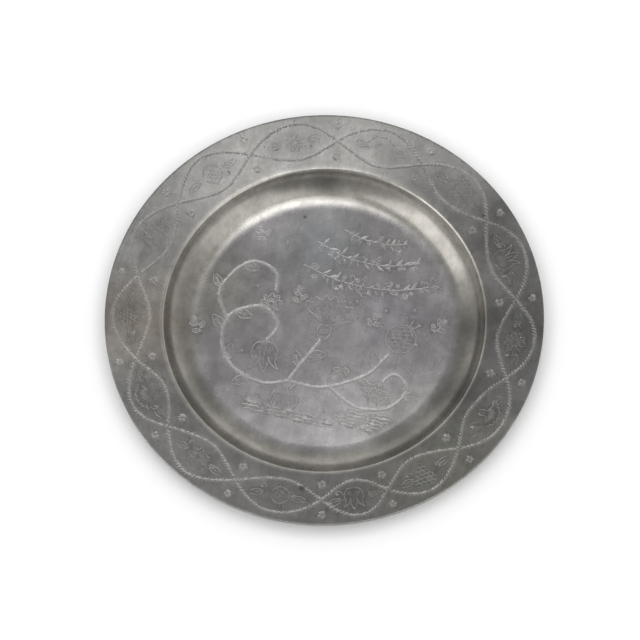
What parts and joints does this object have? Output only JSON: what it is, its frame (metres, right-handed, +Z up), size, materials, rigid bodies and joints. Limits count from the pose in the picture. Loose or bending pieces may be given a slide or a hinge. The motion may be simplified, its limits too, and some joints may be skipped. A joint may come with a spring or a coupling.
{
  "type": "seder plate",
  "caption": "Round shallow pewter plate with a broad engraved rim, a curved bouge and a flat well that holds ritual foods at table, with a swinging ring behind the rim to hang it by.",
  "frame": {"origin": "centre of the flat base, on the surface that the plate stands on", "axes": "+Z up out of the well, +Y towards the hanging ring at the top of the plate, +X to the right"},
  "size_m": [0.345, 0.345, 0.0249],
  "materials": {
    "pewter": "aged satin pewter, turned and engraved",
    "cast_pewter": "dull cast pewter",
    "solder": "soft solder",
    "ring_brass": "tarnished drawn wire"
  },
  "bodies": {
    "plate": {"plate": "pewter", "hanger_lug": "cast_pewter", "solder_seam": "solder"},
    "ring": {"hanging_ring": "ring_brass"}
  },
  "joints": [
    {"name": "ring_swing", "type": "hinge", "parent": "plate", "child": "ring", "pos_m": [0, 0.1585, 0.01685], "axis": [1, 0, 0], "range_deg": [-94, 103]}
  ]
}
